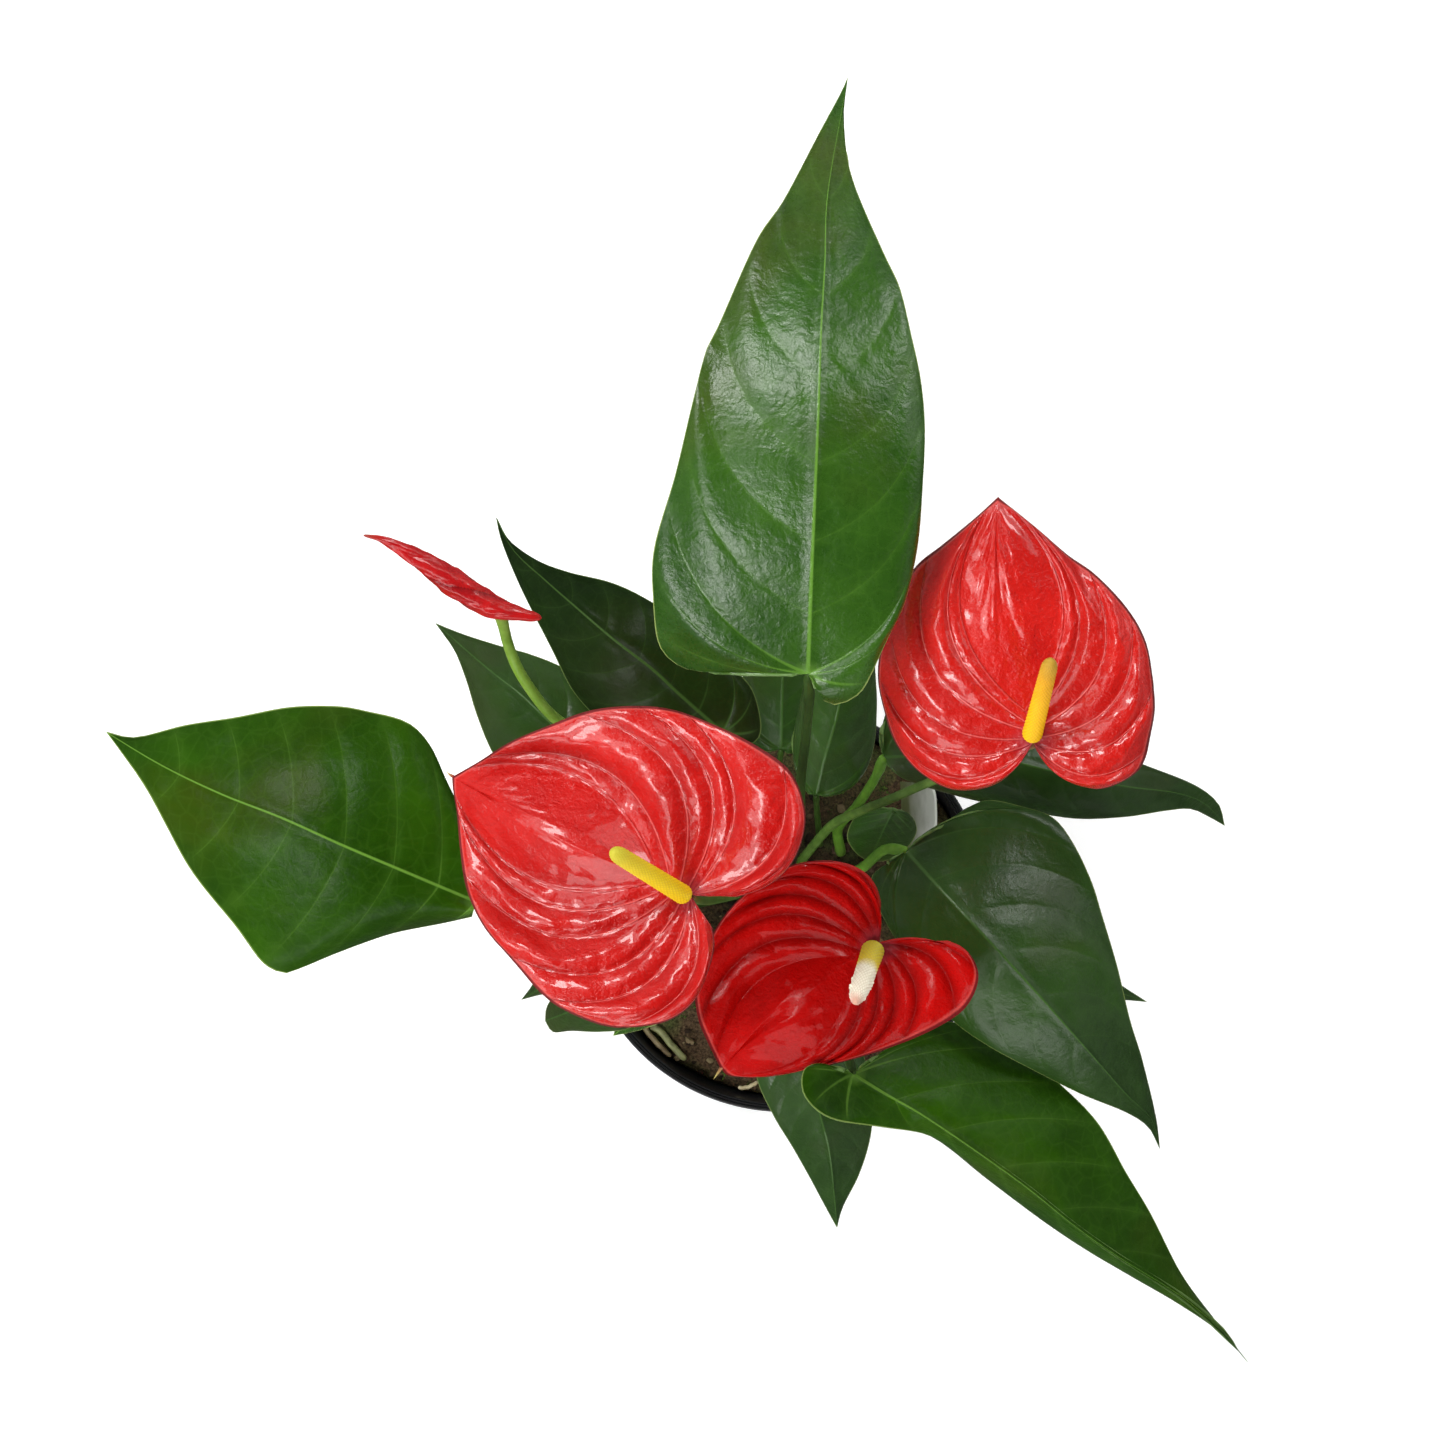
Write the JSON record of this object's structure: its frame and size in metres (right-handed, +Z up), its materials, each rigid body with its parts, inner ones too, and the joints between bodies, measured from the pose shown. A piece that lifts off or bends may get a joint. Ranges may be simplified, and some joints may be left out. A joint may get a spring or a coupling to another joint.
{
  "type": "potted anthurium",
  "caption": "Flowering house plant in a plain round nursery pot: red heart-shaped spathes with yellow spadices over glossy heart-shaped leaves on long stalks.",
  "frame": {"origin": "middle of the flat underside of the pot, on the pot's axis", "axes": "+Z up along the pot's axis; +Y towards the tall rear leaf, which is the top of the picture; +X to the picture's right"},
  "size_m": [0.3089, 0.3379, 0.3273],
  "materials": {
    "pot": "satin",
    "soil": "matte",
    "tag": "satin",
    "root": "matte",
    "leaf": "satin",
    "stem": "satin",
    "spathe": "gloss",
    "spadix": "matte"
  },
  "bodies": {
    "root": {"pot": "pot", "soil": "soil", "plant_tag": "tag", "root_olive": "root", "root_tan": "root", "root_pale": "root", "leaf_rear_tall": "leaf", "leaf_left": "leaf", "leaf_rear_dark": "leaf", "leaf_rear_low": "leaf", "leaf_middle_grey": "leaf", "leaf_middle_round": "leaf", "leaf_right_narrow": "leaf", "leaf_right_broad": "leaf", "leaf_front_long": "leaf", "leaf_front_small": "leaf", "leaf_front_hidden": "leaf", "leaf_low_left": "leaf", "leaf_low_right": "leaf", "leaf_young_front": "leaf", "leaf_young_middle": "leaf", "stem_left": "stem", "stem_right": "stem", "stem_front": "stem", "stem_bud": "stem", "spathe_left": "spathe", "spathe_right": "spathe", "spathe_front": "spathe", "spathe_bud": "spathe", "spadix_left": "spadix", "spadix_right": "spadix", "spadix_front": "spadix"}
  },
  "joints": []
}
